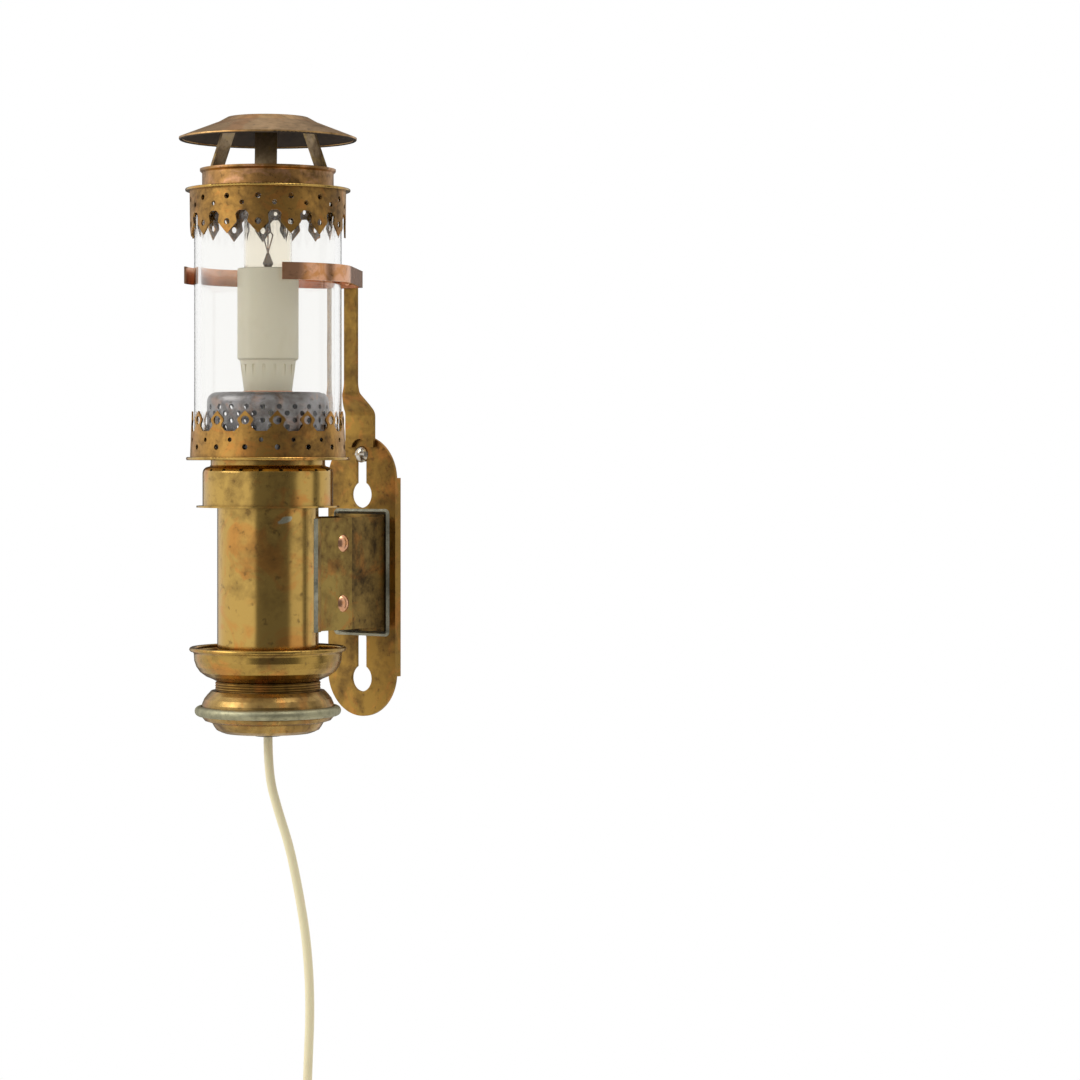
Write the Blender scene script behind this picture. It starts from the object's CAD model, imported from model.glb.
# %% [markdown]
# # A railway carriage candle lamp in aged brass
# The solids come from the CAD frame, in metres, +Z up, with y = 0 at the back of the wall
# plate's sheet.
# This script gives each one its surface, adds the flex and the soldered seams,
# and lights the lamp as in the photograph, on plain white.

import bpy
from math import atan2, cos, pi, radians, sin
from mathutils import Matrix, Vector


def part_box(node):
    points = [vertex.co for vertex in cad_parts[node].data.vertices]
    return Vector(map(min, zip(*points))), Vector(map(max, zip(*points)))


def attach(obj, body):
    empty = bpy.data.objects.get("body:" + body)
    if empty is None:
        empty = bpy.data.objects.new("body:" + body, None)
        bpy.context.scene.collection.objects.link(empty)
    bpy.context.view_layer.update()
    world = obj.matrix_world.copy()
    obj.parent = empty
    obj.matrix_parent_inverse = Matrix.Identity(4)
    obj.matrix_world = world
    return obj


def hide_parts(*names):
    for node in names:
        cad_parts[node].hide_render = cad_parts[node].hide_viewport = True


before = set(bpy.data.objects)
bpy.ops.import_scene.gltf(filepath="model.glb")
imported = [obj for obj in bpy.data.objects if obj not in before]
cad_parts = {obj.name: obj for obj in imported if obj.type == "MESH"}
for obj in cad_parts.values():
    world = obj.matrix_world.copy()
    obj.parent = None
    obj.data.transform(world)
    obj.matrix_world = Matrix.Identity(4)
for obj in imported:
    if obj.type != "MESH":
        bpy.data.objects.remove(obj)
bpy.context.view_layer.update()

# %% [markdown]
# ## Places that the whole script uses
# The lamp's axis stands in front of the wall. The camera looks at it from its right front,
# level with the upper part of the wall plate.

# %%
MM = 0.001
AXIS_Y = -66.9 * MM
VIEW_BEARING = radians(-47.5)
EYE_HEIGHT = 62.3 * MM
CAMERA_DEPTH = 1.514
FOCAL_PIXELS = 3300.0
PHOTO_SIDE = 1080.0
LAMP_COLUMN = 268.0
HORIZON_ROW = 455.0
SENSOR = 36.0
FLEX_RADIUS = 2.1 * MM

print("lamp axis", AXIS_Y, "eye height", EYE_HEIGHT)

# %% [markdown]
# ## The camera
# A level camera keeps upright lines upright. A small downward shift puts the horizon
# where the photograph has it, and the turn away from the lamp puts the lamp on its left side.

# %%
aside = atan2(PHOTO_SIDE / 2 - LAMP_COLUMN, FOCAL_PIXELS)
distance = CAMERA_DEPTH / cos(aside)
camera_place = (
    distance * cos(VIEW_BEARING),
    AXIS_Y + distance * sin(VIEW_BEARING),
    EYE_HEIGHT,
)
heading = VIEW_BEARING + pi / 2 - aside
bpy.ops.object.camera_add(location=camera_place, rotation=(pi / 2, 0, heading))
camera = bpy.context.object
camera.name = "photo_camera"
camera.data.sensor_width = SENSOR
camera.data.lens = FOCAL_PIXELS / PHOTO_SIDE * SENSOR
camera.data.shift_y = (HORIZON_ROW - PHOTO_SIDE / 2) / PHOTO_SIDE
camera.data.clip_end = 20
bpy.context.scene.camera = camera
print("camera at", [round(v, 3) for v in camera_place], "lens", round(camera.data.lens, 1))

# %% [markdown]
# ## The flex
# One smooth curve: it hangs out of the base, leans a little towards the right, then goes
# into a tied coil of four flat layers, and ends in the plug. These are the same route points
# as in the CAD source. The coil's points come from its radii.

# %%
COIL_OUTER = 28.0 * MM
COIL_STEP = 2.4 * MM
COIL_LAYER = 4.8 * MM
COIL_HALF_TURNS = (4, 4, 4, 5)
POINTS_PER_HALF_TURN = 6
COIL_START = (13.0 * MM, -55.0 * MM, -268.0 * MM)
LEAD = 2 * FLEX_RADIUS
flex_route = [
    (0.0, -66.9, -66.6),
    (0.1, -66.8, -84.0),
    (3.2, -64.0, -100.0),
    (7.2, -60.3, -117.0),
    (10.4, -57.4, -138.0),
    (13.2, -54.8, -162.0),
    (14.3, -53.7, -190.0),
    (13.5, -54.6, -219.0),
    (12.9, -55.1, -245.0),
    (13.0, -55.0, -268.0),
]
route = [(x * MM, y * MM, z * MM) for x, y, z in flex_route]


def coil_half_turns():
    """Radius and climb of each half turn, inwards and outwards by turns."""
    turns = []
    radius = COIL_OUTER
    for layer, count in enumerate(COIL_HALF_TURNS):
        growth = -COIL_STEP if layer % 2 == 0 else COIL_STEP
        for _ in range(count):
            turns.append((radius, 0))
            radius += growth
        if layer < len(COIL_HALF_TURNS) - 1:
            turns.append((radius, 1))
            radius -= growth
    return turns


# A quadratic curve runs inside its control points, so these stand out by that share.
stand_out = 1 / (0.75 + 0.25 * cos(pi / POINTS_PER_HALF_TURN))
x_here, y_here, side = COIL_START[0], COIL_START[1], 1
coil_top = COIL_START[2] - LEAD
for radius, climb in coil_half_turns():
    centre = x_here - side * radius
    y_next = y_here + climb * COIL_LAYER
    for step in range(POINTS_PER_HALF_TURN):
        angle = pi * step / POINTS_PER_HALF_TURN
        along = (1 - cos(angle)) / 2
        route.append(
            (
                centre + side * radius * stand_out * cos(angle),
                y_here + (y_next - y_here) * along,
                coil_top - side * radius * stand_out * sin(angle),
            )
        )
    x_here = centre - side * radius
    y_here, side = y_next, -side
tail_steps = [(0, 0), (0.3, -7.0), (2.9, -15.0), (4.9, -23.0), (5.1, -30.0)]
tail_route = [(x_here + a * MM, y_here, coil_top - LEAD + d * MM) for a, d in tail_steps]
route += [(x_here, y_here, coil_top)] + tail_route
print("route points", len(route), "ends at", [round(v, 4) for v in route[-1]])

# %% [markdown]
# The route becomes one spline with a round bevel. A poly or Bezier curve would do too, but a
# quadratic spline with few points bends evenly, as a stiff flex does. The flex's radius is
# kept on its points, with a bevel of 1, because Blender adds a point's radius to the bounds.

# %%
flex_curve = bpy.data.curves.new("flex", "CURVE")
flex_curve.dimensions = "3D"
flex_curve.bevel_depth = 1.0
flex_curve.bevel_resolution = 5
flex_curve.resolution_u = 8
flex_curve.use_fill_caps = True
spline = flex_curve.splines.new("NURBS")
spline.points.add(len(route) - 1)
for point, place in zip(spline.points, route):
    point.co = (*place, 1)
    point.radius = FLEX_RADIUS
spline.order_u = 3
spline.use_endpoint_u = True
flex = bpy.data.objects.new("flex", flex_curve)
bpy.context.collection.objects.link(flex)
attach(flex, "lamp")
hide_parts("cord", "cord_coil", "cord_tail")
print("flex control points:", len(spline.points))

# %% [markdown]
# ## The sleeve on the plug
# A moulded plug has a ribbed tapered sleeve that keeps the flex from kinking. It follows the
# flex itself, so its line is read from the finished spline, and its ribs come from a radius
# that goes up and down along it.

# %%
SLEEVE_LENGTH = 24 * MM
SLEEVE_WALLS = (2.0 * MM, 0.7 * MM)
SLEEVE_RIBS = 6
SLEEVE_STEPS = 48


def line_of(curve_object):
    """Points of a curve's own line, without its bevel."""
    depth = curve_object.data.bevel_depth
    curve_object.data.bevel_depth = 0
    curve_object.data.use_fill_caps = False
    depsgraph = bpy.context.evaluated_depsgraph_get()
    mesh = bpy.data.meshes.new_from_object(curve_object.evaluated_get(depsgraph))
    points = [vertex.co.copy() for vertex in mesh.vertices]
    bpy.data.meshes.remove(mesh)
    curve_object.data.bevel_depth = depth
    curve_object.data.use_fill_caps = True
    return points


def place_back(points, back):
    """Point on a line of points, at a length back from its end."""
    for here, before in zip(reversed(points), reversed(points[:-1])):
        run = (here - before).length
        if back <= run:
            return here.lerp(before, back / run)
        back -= run
    return points[0]


flex_line = line_of(flex)
sleeve_curve = bpy.data.curves.new("plug_sleeve", "CURVE")
sleeve_curve.dimensions = "3D"
sleeve_curve.bevel_depth = 1.0
sleeve_curve.bevel_resolution = 7
sleeve_curve.use_fill_caps = True
sleeve_line = sleeve_curve.splines.new("POLY")
sleeve_line.points.add(SLEEVE_STEPS)
for step, point in enumerate(sleeve_line.points):
    share = step / SLEEVE_STEPS
    wall = SLEEVE_WALLS[0] + (SLEEVE_WALLS[1] - SLEEVE_WALLS[0]) * share
    rib = 0.5 + 0.5 * cos(2 * pi * SLEEVE_RIBS * share)
    point.co = (*place_back(flex_line, SLEEVE_LENGTH * share), 1)
    point.radius = FLEX_RADIUS + wall * (0.6 + 0.4 * rib)
sleeve_object = bpy.data.objects.new("plug_sleeve", sleeve_curve)
bpy.context.collection.objects.link(sleeve_object)
bpy.ops.object.select_all(action="DESELECT")
sleeve_object.select_set(True)
bpy.context.view_layer.objects.active = sleeve_object
bpy.ops.object.convert(target="MESH")
plug_sleeve = bpy.context.object
bpy.ops.object.shade_smooth()
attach(plug_sleeve, "lamp")
print("sleeve points:", len(plug_sleeve.data.vertices))

# %% [markdown]
# ## Tools for the materials
# Two shared node groups return masks only: cloudy tarnish and fine wear. Every metal mixes
# them with its own colours. Small functions wire the rest.

# %%
def new_group(name, inputs, outputs):
    """Empty node group with number inputs and number outputs."""
    group = bpy.data.node_groups.new(name, "ShaderNodeTree")
    group.interface.new_socket("Place", in_out="INPUT", socket_type="NodeSocketVector")
    for label, value in inputs.items():
        socket = group.interface.new_socket(label, in_out="INPUT", socket_type="NodeSocketFloat")
        socket.default_value = value
    for label in outputs:
        group.interface.new_socket(label, in_out="OUTPUT", socket_type="NodeSocketFloat")
    start = group.nodes.new("NodeGroupInput")
    end = group.nodes.new("NodeGroupOutput")
    return group, start, end


def noise(tree, place, scale, detail=4.0, rough=0.55, warp=0.0):
    """Noise texture on a place output, giving its number output."""
    node = tree.nodes.new("ShaderNodeTexNoise")
    node.inputs["Detail"].default_value = detail
    node.inputs["Roughness"].default_value = rough
    node.inputs["Distortion"].default_value = warp
    tree.links.new(place, node.inputs["Vector"])
    if isinstance(scale, (int, float)):
        node.inputs["Scale"].default_value = scale
    else:
        tree.links.new(scale, node.inputs["Scale"])
    return node.outputs[0]


def calc(tree, operation, first, second=0.0):
    """Math node on sockets or numbers, giving its output."""
    node = tree.nodes.new("ShaderNodeMath")
    node.operation = operation
    for socket, value in zip(node.inputs, (first, second)):
        if isinstance(value, (int, float)):
            socket.default_value = value
        else:
            tree.links.new(value, socket)
    return node.outputs[0]


def step_between(tree, value, low, high):
    """Smooth step from 0 at low to 1 at high."""
    node = tree.nodes.new("ShaderNodeMapRange")
    node.interpolation_type = "SMOOTHSTEP"
    node.inputs["From Min"].default_value = low
    node.inputs["From Max"].default_value = high
    tree.links.new(value, node.inputs["Value"])
    return node.outputs[0]


def mix(tree, share, first, second):
    """Colour mix of two colours or sockets by a share."""
    node = tree.nodes.new("ShaderNodeMix")
    node.data_type = "RGBA"
    if isinstance(share, (int, float)):
        node.inputs[0].default_value = share
    else:
        tree.links.new(share, node.inputs[0])
    for socket, value in ((node.inputs[6], first), (node.inputs[7], second)):
        if isinstance(value, tuple):
            socket.default_value = (*value, 1)
        else:
            tree.links.new(value, socket)
    return node.outputs[2]


# Cloudy tarnish: large soft clouds broken up by small mottling
MOTTLE_FINENESS = 9.0
MOTTLE_SHARE = 0.28
CLOUD_LEVEL = 1.14
CLOUD_CONTRAST = 3.2
tarnish, start, end = new_group("tarnish", {"Scale": 30.0, "Cover": 0.5}, ["Clouds", "Mottle"])
clouds = noise(tarnish, start.outputs["Place"], start.outputs["Scale"], 6.0, 0.62, 0.6)
fine_scale = calc(tarnish, "MULTIPLY", start.outputs["Scale"], MOTTLE_FINENESS)
mottle = noise(tarnish, start.outputs["Place"], fine_scale, 3.0, 0.6)
both = calc(tarnish, "ADD", clouds, calc(tarnish, "MULTIPLY", mottle, MOTTLE_SHARE))
edge = calc(tarnish, "SUBTRACT", CLOUD_LEVEL, start.outputs["Cover"])
shifted = calc(tarnish, "SUBTRACT", both, edge)
spread = calc(tarnish, "ADD", calc(tarnish, "MULTIPLY", shifted, CLOUD_CONTRAST), 0.5)
clamped = calc(tarnish, "MAXIMUM", calc(tarnish, "MINIMUM", spread, 1.0), 0.0)
tarnish.links.new(clamped, end.inputs["Clouds"])
tarnish.links.new(mottle, end.inputs["Mottle"])

# Fine wear: thin scratches lying level, and shallow dents
SCRATCH_FINENESS = (260, 260, 2600)
DENT_FINENESS = 75.0
wear, start, end = new_group("wear", {"Scale": 1.0}, ["Scratches", "Dents"])
stretch = wear.nodes.new("ShaderNodeVectorMath")
stretch.operation = "MULTIPLY"
stretch.inputs[1].default_value = SCRATCH_FINENESS
wear.links.new(start.outputs["Place"], stretch.inputs[0])
lines = noise(wear, stretch.outputs[0], 1.0, 2.0, 0.5)
wear.links.new(lines, end.inputs["Scratches"])
dent_scale = calc(wear, "MULTIPLY", start.outputs["Scale"], DENT_FINENESS)
wear.links.new(noise(wear, start.outputs["Place"], dent_scale, 2.0, 0.5), end.inputs["Dents"])
print("groups:", [g.name for g in bpy.data.node_groups])

# %% [markdown]
# A bought surface library could give these finishes as pictures. Nodes are used here because
# they stay sharp from close by and each piece can have its own share of tarnish.

# %%
finishes = {}


def blank(name):
    """Material with a Principled shader and the object's own coordinates, kept by its name."""
    material = bpy.data.materials.new(name)
    finishes[name] = material
    material.use_nodes = True
    tree = material.node_tree
    shader = tree.nodes["Principled BSDF"]
    place = tree.nodes.new("ShaderNodeTexCoord").outputs["Object"]
    return material, tree, shader, place


def use_group(tree, group, place, **values):
    """Group node on a place output, with its own values."""
    node = tree.nodes.new("ShaderNodeGroup")
    node.node_tree = group
    tree.links.new(place, node.inputs["Place"])
    for label, value in values.items():
        node.inputs[label].default_value = value
    return node


def bump(tree, shader, height, depth, strength=1.0):
    """Bump of a depth in metres, wired to the shader."""
    node = tree.nodes.new("ShaderNodeBump")
    node.inputs["Strength"].default_value = strength
    node.inputs["Distance"].default_value = depth
    tree.links.new(height, node.inputs["Height"])
    tree.links.new(node.outputs[0], shader.inputs["Normal"])


def crevice_dirt(tree, reach):
    """Mask that is 1 in corners and folds, where polish never reaches."""
    node = tree.nodes.new("ShaderNodeAmbientOcclusion")
    node.samples = 6
    node.inputs["Distance"].default_value = reach
    return step_between(tree, calc(tree, "SUBTRACT", 1.0, node.outputs["AO"]), 0.25, 0.75)


def facing_down(tree):
    """Mask that is 1 on faces that look downwards."""
    normal = tree.nodes.new("ShaderNodeSeparateXYZ")
    tree.links.new(tree.nodes.new("ShaderNodeTexCoord").outputs["Normal"], normal.inputs[0])
    return step_between(tree, calc(tree, "MULTIPLY", normal.outputs["Z"], -1.0), 0.2, 0.6)


def streak(tree, place, centre, turn, reach, stretch):
    """Mask that is 1 on a long spot round a point, turned by three angles, with an uneven edge."""
    own_axes = tree.nodes.new("ShaderNodeMapping")
    own_axes.vector_type = "TEXTURE"
    own_axes.inputs["Location"].default_value = centre
    own_axes.inputs["Rotation"].default_value = turn
    own_axes.inputs["Scale"].default_value = (1.0, stretch, 1.0)
    tree.links.new(place, own_axes.inputs["Vector"])
    away = tree.nodes.new("ShaderNodeVectorMath")
    away.operation = "LENGTH"
    tree.links.new(own_axes.outputs[0], away.inputs[0])
    ragged = calc(tree, "MULTIPLY", noise(tree, place, 300, 2.0, 0.5), reach)
    rim = calc(tree, "ADD", away.outputs["Value"], ragged)
    return step_between(tree, calc(tree, "MULTIPLY", rim, -1.0), -1.5 * reach, -1.2 * reach)


BRASS = (0.58, 0.37, 0.10)
GOLD = (0.42, 0.245, 0.055)
BROWN = (0.15, 0.085, 0.03)
DARK = (0.07, 0.045, 0.022)
ORANGE = (0.62, 0.26, 0.06)
COPPER = (0.80, 0.42, 0.24)
SOOT = (0.03, 0.024, 0.02)
OLIVE = (0.52, 0.36, 0.10)
PATCH_SHARE = 0.7
SPECK_SHARE = 0.5
DIRT_SHARE = 0.75
DIRT_REACH = 3 * MM
SCRATCH_SHARE = 0.12


def aged_metal(name, clean, cover, scale, rough, dark=BROWN, warm=ORANGE, depth=0.25, soot=0.0):
    """Patinated metal: clean colour, dark tarnish clouds, warm patches and dirt in the folds.

    The cover and scale are those of the clouds, rough goes from clean to tarnished metal,
    depth is that of the dents in millimetres, and soot blackens what faces down.
    """
    material, tree, shader, place = blank(name)
    clouds = use_group(tree, tarnish, place, Scale=scale, Cover=cover)
    marks = use_group(tree, wear, place, Scale=1.0)
    patches = step_between(tree, noise(tree, place, scale * 1.7, 3.0, 0.6, 1.2), 0.5, 0.66)
    colour = mix(tree, calc(tree, "MULTIPLY", patches, PATCH_SHARE), clean, warm)
    colour = mix(tree, clouds.outputs["Clouds"], colour, dark)
    specks = step_between(tree, clouds.outputs["Mottle"], 0.6, 0.72)
    colour = mix(tree, calc(tree, "MULTIPLY", specks, SPECK_SHARE), colour, dark)
    dirt = calc(tree, "MULTIPLY", crevice_dirt(tree, DIRT_REACH), DIRT_SHARE)
    colour = mix(tree, dirt, colour, dark)
    shader.inputs["Metallic"].default_value = 1.0
    span = tree.nodes.new("ShaderNodeMapRange")
    span.inputs["To Min"].default_value = rough[0]
    span.inputs["To Max"].default_value = rough[1]
    tree.links.new(clouds.outputs["Clouds"], span.inputs["Value"])
    scratched = calc(tree, "MULTIPLY", marks.outputs["Scratches"], SCRATCH_SHARE)
    roughness = calc(tree, "ADD", span.outputs[0], scratched)
    if soot > 0:
        black = calc(tree, "MULTIPLY", facing_down(tree), soot)
        colour = mix(tree, black, colour, SOOT)
        roughness = calc(tree, "MAXIMUM", roughness, black)
        tree.links.new(calc(tree, "SUBTRACT", 1.0, black), shader.inputs["Metallic"])
    tree.links.new(colour, shader.inputs["Base Color"])
    tree.links.new(roughness, shader.inputs["Roughness"])
    relief = calc(tree, "ADD", marks.outputs["Dents"], calc(tree, "MULTIPLY", scratched, 0.4))
    bump(tree, shader, relief, depth * MM)
    return material


metals = {
    "tube_brass": dict(clean=BRASS, cover=0.36, scale=26, rough=(0.10, 0.28), depth=0.13),
    "neck_brass": dict(clean=BRASS, cover=0.38, scale=32, rough=(0.12, 0.30), depth=0.13),
    "pan_brass": dict(
        clean=(0.48, 0.30, 0.075), cover=0.40, scale=34, rough=(0.15, 0.34), depth=0.15
    ),
    "base_brass": dict(
        clean=(0.50, 0.32, 0.10), cover=0.42, scale=38, rough=(0.16, 0.36), depth=0.15
    ),
    "plate_brass": dict(clean=GOLD, cover=0.42, scale=34, rough=(0.36, 0.58)),
    "channel_brass": dict(
        clean=(0.42, 0.27, 0.08), dark=DARK, cover=0.50, scale=40, rough=(0.30, 0.60)
    ),
    "cheek_brass": dict(clean=OLIVE, cover=0.46, scale=36, rough=(0.34, 0.60)),
    "crest_brass": dict(clean=(0.52, 0.28, 0.07), cover=0.46, scale=55, rough=(0.26, 0.50)),
    "collar_brass": dict(
        clean=(0.54, 0.28, 0.09), warm=COPPER, cover=0.46, scale=50, rough=(0.22, 0.42)
    ),
    "cap_brass": dict(
        clean=(0.70, 0.42, 0.17), cover=0.42, scale=30, rough=(0.22, 0.42), depth=0.2, soot=0.95
    ),
    "stay_brass": dict(
        clean=(0.46, 0.34, 0.20), warm=OLIVE, cover=0.46, scale=50, rough=(0.35, 0.60)
    ),
    "copper": dict(clean=COPPER, cover=0.30, scale=60, rough=(0.14, 0.30), depth=0.12),
    "drum_metal": dict(
        clean=(0.28, 0.27, 0.27),
        dark=DARK,
        warm=(0.42, 0.27, 0.20),
        cover=0.42,
        scale=50,
        rough=(0.35, 0.60),
    ),
    "verdigris": dict(
        clean=(0.46, 0.43, 0.27),
        dark=(0.22, 0.21, 0.14),
        warm=(0.44, 0.42, 0.28),
        cover=0.42,
        scale=60,
        rough=(0.38, 0.60),
    ),
    "nickel": dict(
        clean=(0.66, 0.63, 0.57), warm=BRASS, cover=0.30, scale=80, rough=(0.20, 0.40), depth=0.1
    ),
    "wire_metal": dict(
        clean=(0.30, 0.20, 0.13), dark=DARK, cover=0.40, scale=200, rough=(0.3, 0.5), depth=0.05
    ),
}
for name, look in metals.items():
    aged_metal(name, **look)
print("metals:", len(finishes))

# %% [markdown]
# ## A smear of solder on the tube
# The real tube has a pale smear under its neck. It has no thickness to speak of, so it is
# painted on the tube by a mask round one point, drawn out along the tube's side and tilted.

# %%
SMEAR_BEARING = VIEW_BEARING + radians(20)
SMEAR_RADIUS = 23.2 * MM
SMEAR_HEIGHT = 32.8 * MM
SMEAR_REACH = 1.5 * MM
SMEAR_STRETCH = 3.0
SMEAR_TILT = radians(18)
SMEAR_GREY = (0.55, 0.52, 0.38)
smear_centre = (
    SMEAR_RADIUS * cos(SMEAR_BEARING),
    AXIS_Y + SMEAR_RADIUS * sin(SMEAR_BEARING),
    SMEAR_HEIGHT,
)
tree = finishes["tube_brass"].node_tree
shader = tree.nodes["Principled BSDF"]
painted = shader.inputs["Base Color"].links[0].from_socket
place = tree.nodes.new("ShaderNodeTexCoord").outputs["Object"]
smear_turn = (SMEAR_TILT, 0, SMEAR_BEARING)
smear = streak(tree, place, smear_centre, smear_turn, SMEAR_REACH, SMEAR_STRETCH)
tree.links.new(mix(tree, smear, painted, SMEAR_GREY), shader.inputs["Base Color"])
print("smear at", [round(v, 4) for v in smear_centre])

# %% [markdown]
# ## Solder, glass, plastics and rubber
# Solder is grey and lumpy beside the brass. The glass stays plain and clear, because its own
# shader already bends the light. The plastics have aged to cream.

# %%
def dull_solder():
    """Grey-green lead solder: lumpy and part metallic."""
    material, tree, shader, place = blank("old_solder")
    clouds = use_group(tree, tarnish, place, Scale=90, Cover=0.45)
    colour = mix(tree, clouds.outputs["Clouds"], (0.46, 0.45, 0.34), (0.2, 0.2, 0.15))
    tree.links.new(colour, shader.inputs["Base Color"])
    shader.inputs["Metallic"].default_value = 0.7
    shader.inputs["Roughness"].default_value = 0.48
    bump(tree, shader, noise(tree, place, 420, 3.0, 0.5), 0.0005)
    return material


def clear_glass(name, tint, rough):
    """Clear glass with a trace of dust in its roughness."""
    material, tree, shader, place = blank(name)
    shader.inputs["Base Color"].default_value = (*tint, 1)
    shader.inputs["Transmission Weight"].default_value = 1.0
    shader.inputs["IOR"].default_value = 1.48
    dust = step_between(tree, noise(tree, place, 70, 5.0, 0.6), 0.52, 0.8)
    tree.links.new(calc(tree, "MULTIPLY", dust, rough), shader.inputs["Roughness"])
    bump(tree, shader, noise(tree, place, 45, 1.0, 0.4), 0.00006)
    return material


def plastic(name, colour, stain, rough, grain):
    """Moulded plastic or rubber with faint staining and a fine grain."""
    material, tree, shader, place = blank(name)
    clouds = use_group(tree, tarnish, place, Scale=45, Cover=0.34)
    share = calc(tree, "MULTIPLY", clouds.outputs["Clouds"], 0.5)
    tree.links.new(mix(tree, share, colour, stain), shader.inputs["Base Color"])
    shader.inputs["Roughness"].default_value = rough
    shader.inputs["Subsurface Weight"].default_value = 0.04
    bump(tree, shader, noise(tree, place, 1600, 2.0, 0.5), grain)
    return material


dull_solder()
clear_glass("chimney_glass", (0.975, 0.972, 0.958), 0.03)
clear_glass("bulb_glass_clear", (0.975, 0.94, 0.86), 0.02)
plastic("cream_plastic", (0.78, 0.70, 0.51), (0.62, 0.52, 0.34), 0.42, 0.00002)
plastic("flex_cream", (0.95, 0.84, 0.54), (0.80, 0.68, 0.42), 0.45, 0.00003)
plastic("stem_glass", (0.36, 0.24, 0.14), (0.2, 0.12, 0.06), 0.3, 0.00002)
plastic("dark_rubber", (0.03, 0.027, 0.024), (0.06, 0.055, 0.045), 0.6, 0.00003)
print("finishes:", len(finishes))

# %% [markdown]
# ## Each piece gets its own surface
# A table from finish to pieces is easier to read and to change than a line for each piece. The
# finishes come from this script's own table, because the frame has plain materials with some of
# the same names.

# %%
surfaces = {
    "tube_brass": ["tube", "upper_flange"],
    "neck_brass": ["neck", "lower_flange"],
    "pan_brass": ["drip_pan"],
    "base_brass": ["base_shoulder", "base_cup"],
    "plate_brass": ["back_plate", "arm", "beaded_ferrule"],
    "channel_brass": ["wall_channel"],
    "cheek_brass": ["cheek_left", "cheek_right"],
    "crest_brass": ["lower_crown", "upper_crown"],
    "collar_brass": ["collar"],
    "cap_brass": ["cap"],
    "stay_brass": ["cap_stays"],
    "copper": ["cheek_rivets", "drum_washer", "ring_clip", "clip_rivet"],
    "drum_metal": ["drum"],
    "verdigris": ["base_ring"],
    "nickel": ["nipple", "nipple_nut", "thread_shell", "centre_contact", "bulb_cap"]
    + ["plate_screw", "screw_nut", "plug_pins"],
    "wire_metal": ["filament"],
    "old_solder": ["solder_web", "solder_wings"],
    "chimney_glass": ["glass_chimney"],
    "bulb_glass_clear": ["bulb_glass"],
    "stem_glass": ["bulb_stem"],
    "cream_plastic": ["holder_base", "holder_skirt", "holder_core"],
    "flex_cream": ["inner_flex", "plug_body"],
    "dark_rubber": ["grommet", "cord_tie"],
}
for finish, nodes in surfaces.items():
    for node in nodes:
        for slot in bpy.data.objects[node].material_slots:
            slot.material = finishes[finish]
flex_curve.materials.append(finishes["flex_cream"])
plug_sleeve.data.materials.clear()
plug_sleeve.data.materials.append(finishes["flex_cream"])
bare = [
    o.name
    for o in bpy.data.objects
    if o.type == "MESH" and not [m for m in o.data.materials if m and m.node_tree]
]
print("surfaces set:", sum(len(nodes) for nodes in surfaces.values()), "left bare:", bare)

# %% [markdown]
# ## What the flex is
# The flex leaves the base's grommet and ends in its plug. Its length outside the lamp is
# stated here and compared with the curve.

# %% [markdown]
# ## Light
# The lamp's polished tube shows its surroundings: a large bright panel at the left, a dark
# room behind the camera, a dimmer panel at the right and white paper behind. A world
# gradient by bearing gives the metals that room, and the camera itself sees plain white.
# Plain white all round would leave the brass without its dark and bright bands.

# %%
world = bpy.data.worlds.new("studio")
bpy.context.scene.world = world
world.use_nodes = True
tree = world.node_tree
tree.nodes.clear()
direction = tree.nodes.new("ShaderNodeTexCoord").outputs["Generated"]
parts = tree.nodes.new("ShaderNodeSeparateXYZ")
tree.links.new(direction, parts.inputs[0])
turn = calc(tree, "ARCTAN2", parts.outputs["Y"], parts.outputs["X"])
# Bearing from the view direction, as a share of a full turn, 0.5 straight at the camera
shifted = calc(tree, "ADD", turn, pi - VIEW_BEARING)
share = calc(tree, "FRACT", calc(tree, "MULTIPLY", shifted, 1 / (2 * pi)))
ramp = tree.nodes.new("ShaderNodeValToRGB")
tree.links.new(share, ramp.inputs[0])
room = [
    (-180, 0.12),
    (-160, 0.12),
    (-154, 0.80),
    (-146, 0.80),
    (-138, 0.92),
    (-32, 0.92),
    (-25, 0.20),
    (0, 0.18),
    (46, 0.18),
    (57, 0.72),
    (84, 0.78),
    (89, 0.15),
    (99, 0.15),
    (106, 0.80),
    (154, 0.80),
    (160, 0.12),
    (180, 0.12),
]
stops = ramp.color_ramp.elements
while len(stops) < len(room):
    stops.new(0.5)
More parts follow.
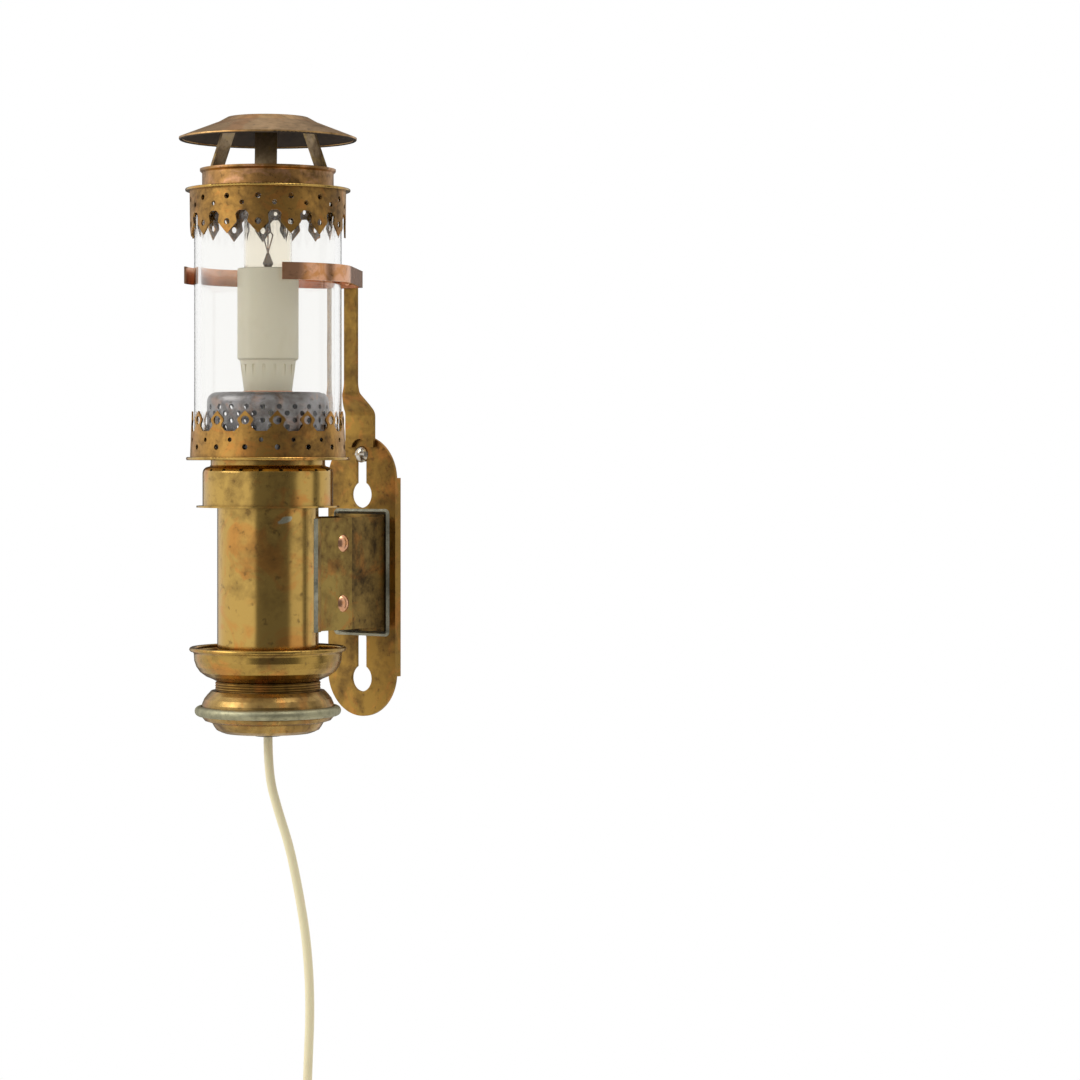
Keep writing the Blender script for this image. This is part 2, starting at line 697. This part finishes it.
# All places first, then all levels, because a stop that moves changes its number.
for stop, (bearing, level) in zip(stops, room):
    stop.position = (bearing + 180) / 360
for stop, (bearing, level) in zip(stops, room):
    stop.color = (level, level, level, 1)
ceiling = step_between(tree, parts.outputs["Z"], 0.35, 0.85)
floor = step_between(tree, calc(tree, "MULTIPLY", parts.outputs["Z"], -1.0), 0.3, 0.8)
level_mix = mix(tree, ceiling, ramp.outputs[0], (0.85, 0.85, 0.85))
level_mix = mix(tree, floor, level_mix, (0.5, 0.5, 0.49))
room_light = tree.nodes.new("ShaderNodeBackground")
tree.links.new(level_mix, room_light.inputs["Color"])
room_light.inputs["Strength"].default_value = 1.0
white = tree.nodes.new("ShaderNodeBackground")
white.inputs["Color"].default_value = (1, 1, 1, 1)
rays = tree.nodes.new("ShaderNodeLightPath")
seen = calc(
    tree, "MAXIMUM", rays.outputs["Is Camera Ray"], rays.outputs["Is Transmission Ray"]
)
choose = tree.nodes.new("ShaderNodeMixShader")
tree.links.new(seen, choose.inputs[0])
tree.links.new(room_light.outputs[0], choose.inputs[1])
tree.links.new(white.outputs[0], choose.inputs[2])
output = tree.nodes.new("ShaderNodeOutputWorld")
tree.links.new(choose.outputs[0], output.inputs[0])
print("room stops:", len(stops))

# %% [markdown]
# Two soft square lights add the shine and the shadows that the room alone doesn't give. A
# small lamp would make hard points on the brass, which the photograph lacks.

# %%
def panel(name, bearing, height, reach, size, power):
    """Soft square light that faces the lamp from a bearing off the view direction."""
    angle = VIEW_BEARING + radians(bearing)
    place = (reach * cos(angle), AXIS_Y + reach * sin(angle), height)
    tilt = pi / 2 - atan2(height - EYE_HEIGHT, reach)
    bpy.ops.object.light_add(type="AREA", location=place, rotation=(tilt, 0, angle + pi / 2))
    light = bpy.context.object
    light.name = name
    light.data.size = size
    light.data.energy = power


panel("left_panel", bearing=-75, height=0.9, reach=1.4, size=1.0, power=9)
panel("top_panel", bearing=60, height=1.6, reach=0.9, size=0.8, power=5)

# %% [markdown]
# A pale floor lies just under the plug. It is below the camera's view, and it sends soft light
# up under the rims, as the table in the photograph does.

# %%
FLOOR_GAP = 2 * MM
FLOOR_RADIUS = 0.6
floor_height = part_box("plug_pins")[0][2] - FLOOR_GAP
bpy.ops.mesh.primitive_circle_add(
    vertices=96, radius=FLOOR_RADIUS, fill_type="NGON", location=(0, AXIS_Y, floor_height)
)
floor_disc = bpy.context.object
floor_disc.name = "pale_floor"
floor_paint, tree, shader, place = blank("floor_paint")
shader.inputs["Base Color"].default_value = (0.8, 0.79, 0.77, 1)
shader.inputs["Roughness"].default_value = 0.8
floor_disc.data.materials.append(floor_paint)
print("floor at", round(floor_height, 4))

# %% [markdown]
# Last, the plain colour transform and the size of the dressed lamp beside that of the frame.

# %%
bpy.context.scene.view_settings.view_transform = "Standard"
